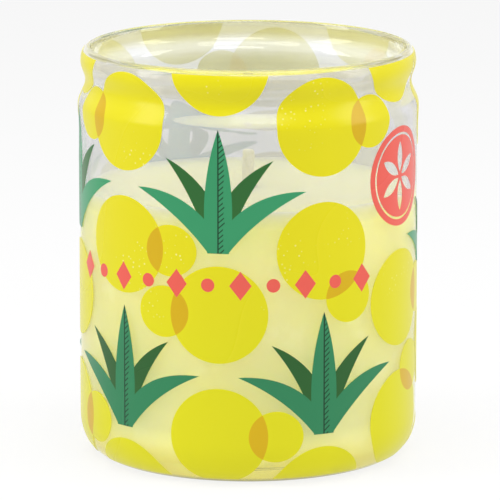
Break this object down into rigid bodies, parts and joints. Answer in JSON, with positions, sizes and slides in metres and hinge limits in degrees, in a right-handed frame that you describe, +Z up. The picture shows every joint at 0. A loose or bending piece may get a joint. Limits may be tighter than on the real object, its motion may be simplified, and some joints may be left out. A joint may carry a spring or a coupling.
{
  "type": "citronella candle",
  "caption": "Round clear glass jar with a necked lip and a printed clear sleeve, filled with poured wax and one waxed wick on a tin sustainer.",
  "frame": {"origin": "centre of the standing ring, on the surface that the jar stands on", "axes": "+Z up along the jar's axis; -Y towards the front of the print"},
  "size_m": [0.0808, 0.0808, 0.098],
  "materials": {
    "clear_glass": "polished",
    "yellow_wax": "satin, slightly translucent wax",
    "waxed_cotton": "braided cotton soaked with wax",
    "tin": "bright tinned steel",
    "adhesive": "soft foam adhesive",
    "clear_film": "glossy, slightly milky shrink film",
    "yellow_ink": "glossy print",
    "amber_ink": "glossy print",
    "green_ink": "glossy print",
    "dark_green_ink": "glossy print",
    "coral_ink": "glossy print"
  },
  "bodies": {
    "root": {"glass_jar": "clear_glass", "wax_fill": "yellow_wax", "wick": "waxed_cotton", "wick_sustainer": "tin", "sustainer_pad": "adhesive", "printed_sleeve": "clear_film", "print_yellow": "yellow_ink", "print_amber": "amber_ink", "print_green": "green_ink", "print_dark_green": "dark_green_ink", "print_coral": "coral_ink"}
  },
  "joints": []
}
